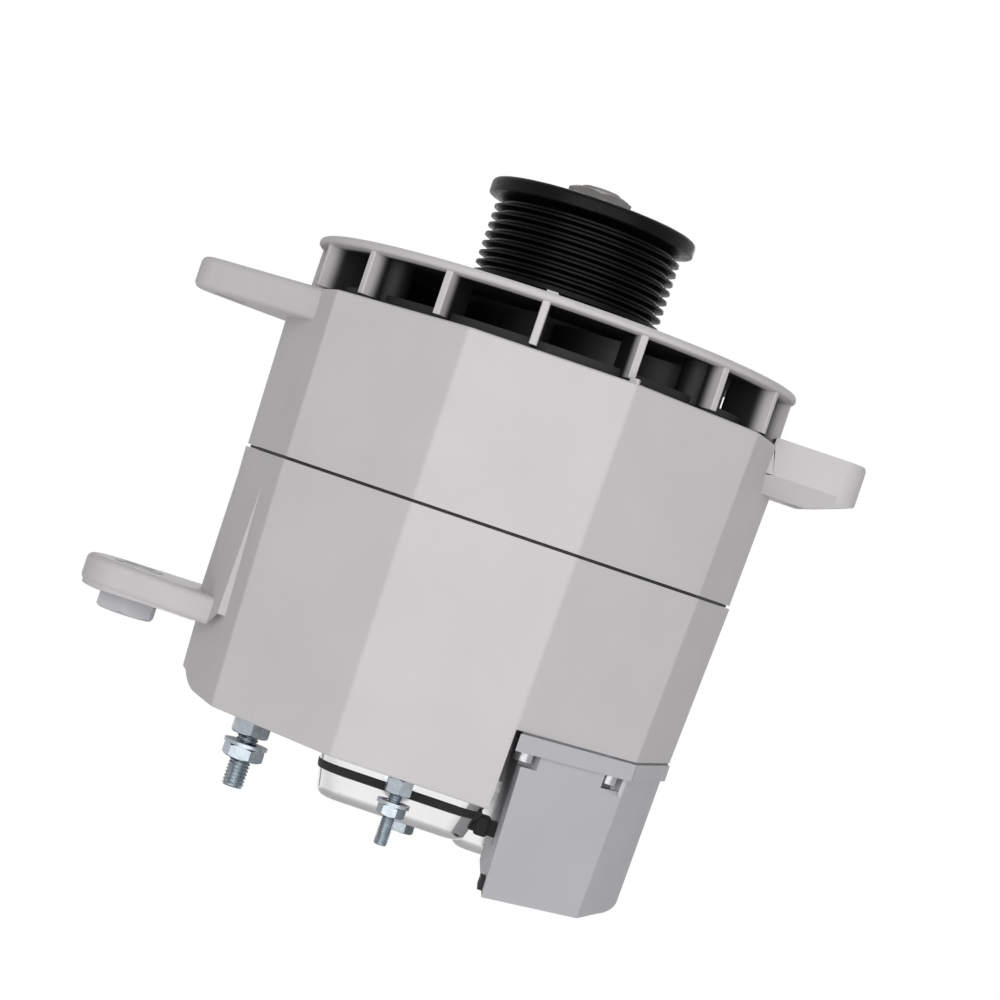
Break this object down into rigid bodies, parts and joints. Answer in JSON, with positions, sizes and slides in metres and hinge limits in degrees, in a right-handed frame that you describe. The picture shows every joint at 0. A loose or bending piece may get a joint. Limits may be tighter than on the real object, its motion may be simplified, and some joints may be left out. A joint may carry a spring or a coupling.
{
  "type": "generator alternator head",
  "caption": "Belt-driven generator head with ten-sided cast housings, vaned front shield, ribbed pulley, hinge and adjuster lugs, rear regulator box and terminal studs.",
  "frame": {"origin": "on the shaft axis at the middle of the pulley's belt grooves", "axes": "+Z along the shaft, out of the pulley; +X towards the adjuster lug and regulator box; -Y is the side the picture shows"},
  "size_m": [0.262, 0.1844, 0.2502],
  "materials": {
    "cast_aluminium": "satin die casting",
    "box_casting": "satin die casting, slightly blue",
    "polished_steel": "bright pressed sheet",
    "zinc_steel": "bluish zinc plate",
    "laminations": "dark varnished steel",
    "copper_wire": "enamelled copper",
    "bearing_steel": "ground steel",
    "cage_polymer": "moulded polyamide",
    "black_paint": "black electrocoat, half gloss",
    "fan_sheet": "black coated sheet",
    "black_plastic": "moulded, matt",
    "carbon": "pressed carbon",
    "rubber": "moulded rubber",
    "plate_aluminium": "pressed aluminium",
    "diode_case": "plated steel cans"
  },
  "bodies": {
    "housing": {"front_housing": "cast_aluminium", "rear_housing": "cast_aluminium", "front_end_shield": "cast_aluminium", "end_shield_screws": "zinc_steel", "case_bolts": "zinc_steel", "hinge_bush": "zinc_steel", "stator_core": "laminations", "stator_windings": "copper_wire", "front_bearing_outer_ring": "bearing_steel", "rear_bearing_outer_ring": "bearing_steel", "bearing_retainer": "zinc_steel", "retainer_screws": "zinc_steel", "brush_holder": "black_plastic", "brush_holder_screws": "zinc_steel", "brush_cover": "polished_steel", "cover_screws": "zinc_steel", "capacitor_cover": "polished_steel", "suppressor_capacitor": "plate_aluminium", "regulator_gasket": "rubber", "regulator_flange": "box_casting", "regulator_box": "box_casting", "regulator_screws": "zinc_steel", "regulator_circuit": "black_plastic", "regulator_plug": "black_plastic", "lead_grommet": "rubber", "positive_plate": "plate_aluminium", "negative_plate": "plate_aluminium", "rectifier_diodes": "diode_case", "rectifier_screws": "zinc_steel", "rectifier_spacers": "black_plastic", "output_stud": "zinc_steel", "output_stud_insulator": "black_plastic", "output_stud_nuts": "zinc_steel", "terminal_washers": "zinc_steel", "signal_stud": "zinc_steel", "signal_stud_nuts": "zinc_steel", "upper_brush_spring": "bearing_steel", "lower_brush_spring": "bearing_steel"},
    "rotor": {"rotor_shaft": "bearing_steel", "front_pole": "laminations", "rear_pole": "laminations", "coil_bobbin": "cage_polymer", "field_coil": "copper_wire", "drive_fan": "fan_sheet", "fan_spacer": "bearing_steel", "pulley_collar": "bearing_steel", "drive_pulley": "black_paint", "pulley_key": "bearing_steel", "pulley_washer": "zinc_steel", "pulley_nut": "zinc_steel", "slip_ring_hub": "black_plastic", "slip_rings": "copper_wire", "front_bearing_inner_ring": "bearing_steel", "rear_bearing_inner_ring": "bearing_steel"},
    "front_ball_set": {"front_bearing_balls": "bearing_steel", "front_bearing_cage": "cage_polymer"},
    "rear_ball_set": {"rear_bearing_balls": "bearing_steel", "rear_bearing_cage": "cage_polymer"},
    "upper_brush": {"upper_brush": "carbon"},
    "lower_brush": {"lower_brush": "carbon"}
  },
  "joints": [
    {"name": "rotor_spin", "type": "hinge", "parent": "housing", "child": "rotor", "pos_m": [0, 0, 0], "axis": [0, 0, 1], "continuous": true},
    {"name": "front_balls_spin", "type": "hinge", "parent": "housing", "child": "front_ball_set", "pos_m": [0, 0, -0.0315], "axis": [0, 0, 1], "continuous": true},
    {"name": "rear_balls_spin", "type": "hinge", "parent": "housing", "child": "rear_ball_set", "pos_m": [0, 0, -0.173], "axis": [0, 0, 1], "continuous": true},
    {"name": "upper_brush_slide", "type": "slide", "parent": "housing", "child": "upper_brush", "axis": [0, -1, 0], "range_m": [0, 0.006], "stiffness_N_per_m": 60, "springref_m": -0.02, "deforming": ["upper_brush_spring"]},
    {"name": "lower_brush_slide", "type": "slide", "parent": "housing", "child": "lower_brush", "axis": [0, -1, 0], "range_m": [0, 0.006], "stiffness_N_per_m": 60, "springref_m": -0.02, "deforming": ["lower_brush_spring"]}
  ],
  "couplings": [
    {"joint": "front_balls_spin", "follows": "rotor_spin", "ratio": 0.36782},
    {"joint": "rear_balls_spin", "follows": "rotor_spin", "ratio": 0.3807}
  ]
}
